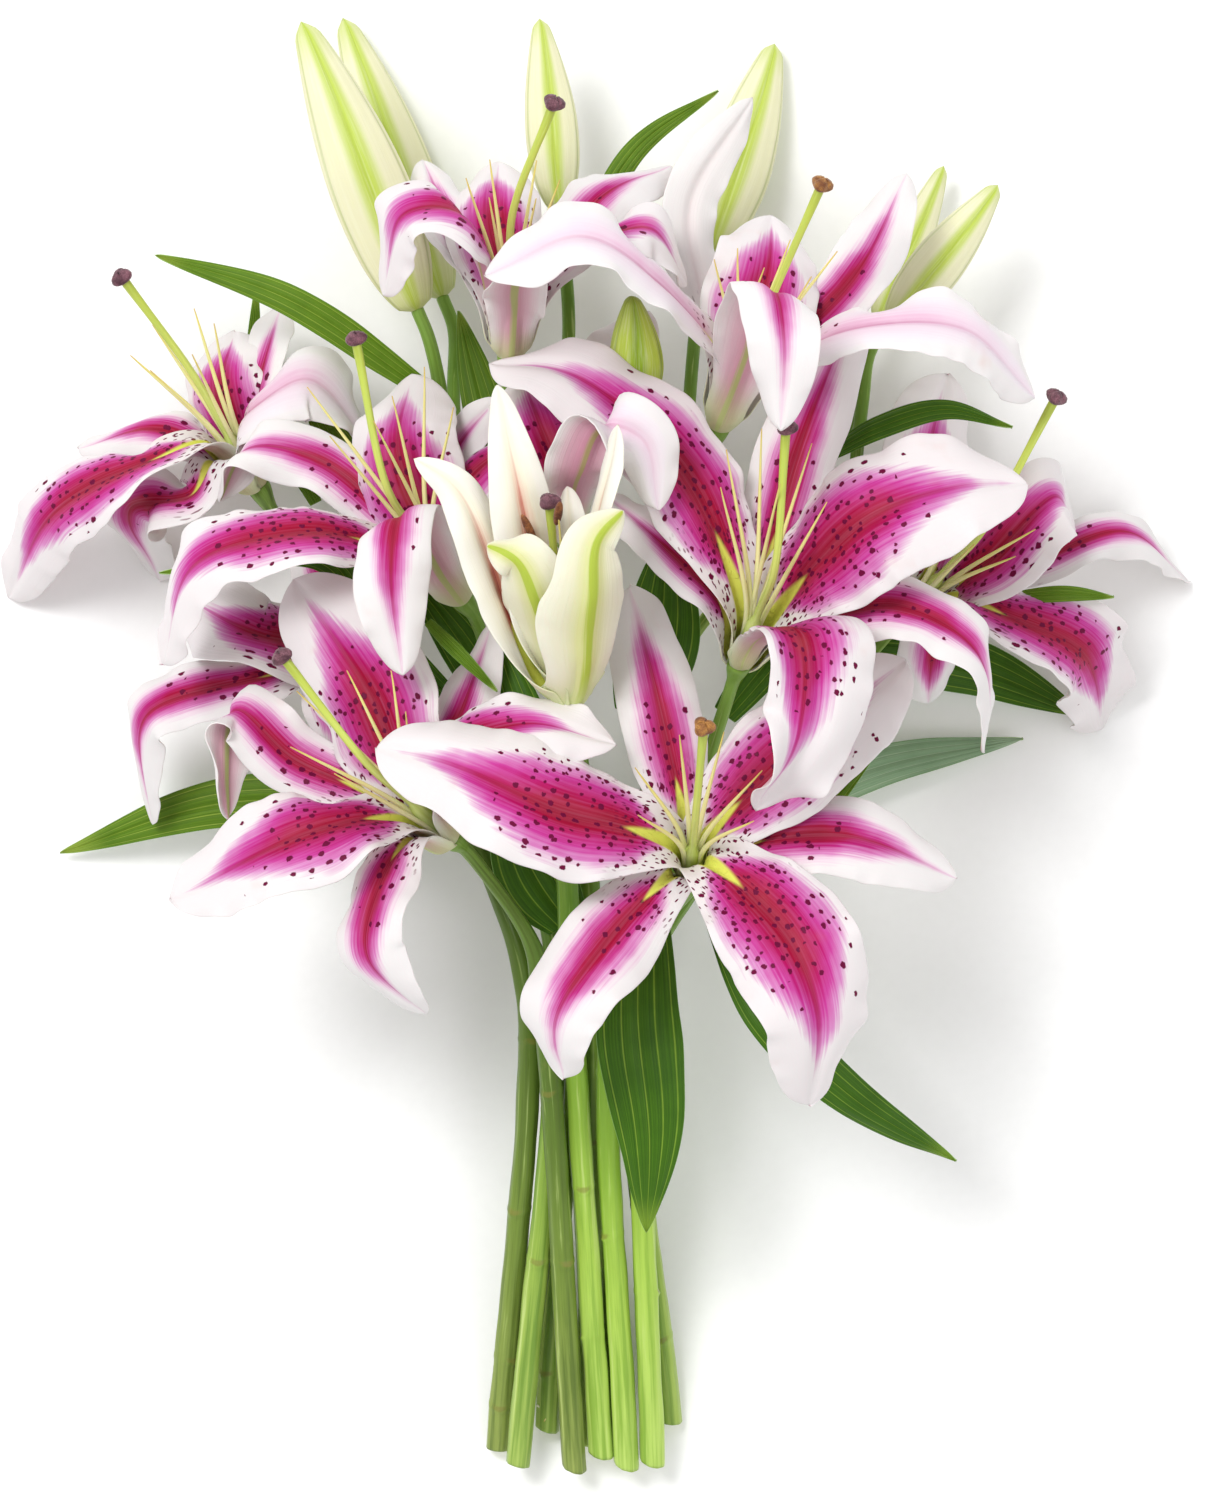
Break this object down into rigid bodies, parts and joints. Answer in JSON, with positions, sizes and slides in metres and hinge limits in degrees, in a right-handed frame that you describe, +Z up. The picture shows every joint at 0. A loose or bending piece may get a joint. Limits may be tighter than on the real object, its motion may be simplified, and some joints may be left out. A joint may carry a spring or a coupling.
{
  "type": "bunch of cut lilies",
  "caption": "Loose bunch of cut pink and white Oriental lilies with buds, leaves and bare stems, lying on its back.",
  "frame": {"origin": "middle of the footprint, on the surface that the bunch lies on", "axes": "+Y from the cut ends to the bud tips, +Z up from the surface to the front of the bunch, +X to the right of the bunch seen from above"},
  "size_m": [0.413, 0.5074, 0.2003],
  "materials": {
    "pink_petal": "satin, crimson midrib, pink field, white wavy margin, dark spots",
    "cream_petal": "satin, cream with lime midribs",
    "pistil": "satin, yellow-green with a purple-brown stigma",
    "bud": "satin, pale cream-green with lime ribs",
    "stem": "smooth, waxy green with leaf scars",
    "leaf": "satin, dark green with lighter lengthwise veins"
  },
  "bodies": {
    "root": {"front_lily_inner_tepals": "pink_petal", "front_lily_outer_tepals": "pink_petal", "front_lily_pistil_and_stamens": "pistil", "right_lily_inner_tepals": "pink_petal", "right_lily_outer_tepals": "pink_petal", "right_lily_pistil_and_stamens": "pistil", "low_left_lily_inner_tepals": "pink_petal", "low_left_lily_outer_tepals": "pink_petal", "low_left_lily_pistil_and_stamens": "pistil", "middle_left_lily_inner_tepals": "pink_petal", "middle_left_lily_outer_tepals": "pink_petal", "middle_left_lily_pistil_and_stamens": "pistil", "far_left_lily_inner_tepals": "pink_petal", "far_left_lily_outer_tepals": "pink_petal", "far_left_lily_pistil_and_stamens": "pistil", "top_left_lily_inner_tepals": "pink_petal", "top_left_lily_outer_tepals": "pink_petal", "top_left_lily_pistil_and_stamens": "pistil", "top_right_lily_inner_tepals": "pink_petal", "top_right_lily_outer_tepals": "pink_petal", "top_right_lily_pistil_and_stamens": "pistil", "far_right_lily_inner_tepals": "pink_petal", "far_right_lily_outer_tepals": "pink_petal", "far_right_lily_pistil_and_stamens": "pistil", "opening_lily_inner_tepals": "cream_petal", "opening_lily_outer_tepals": "cream_petal", "opening_lily_pistil_and_stamens": "pistil", "hidden_left_lily_tepals": "pink_petal", "hidden_middle_lily_tepals": "pink_petal", "tall_left_bud": "bud", "tall_left_back_bud": "bud", "top_middle_bud": "bud", "top_right_bud": "bud", "right_bud": "bud", "right_narrow_bud": "bud", "small_green_bud": "bud", "stem_1": "stem", "stem_2": "stem", "stem_3": "stem", "stem_4": "stem", "stem_5": "stem", "stem_6": "stem", "stem_7": "stem", "stem_8": "stem", "stem_9": "stem", "stem_10": "stem", "leaf_upper_left": "leaf", "leaf_far_left": "leaf", "leaf_left_behind": "leaf", "leaf_top": "leaf", "leaf_right_arched": "leaf", "leaf_low_left": "leaf", "leaf_bent_left": "leaf", "leaf_right": "leaf", "leaf_low_right": "leaf", "leaf_hanging": "leaf", "leaf_hanging_right": "leaf", "leaf_low_middle": "leaf", "leaf_middle": "leaf", "leaf_upper_middle": "leaf"}
  },
  "joints": []
}
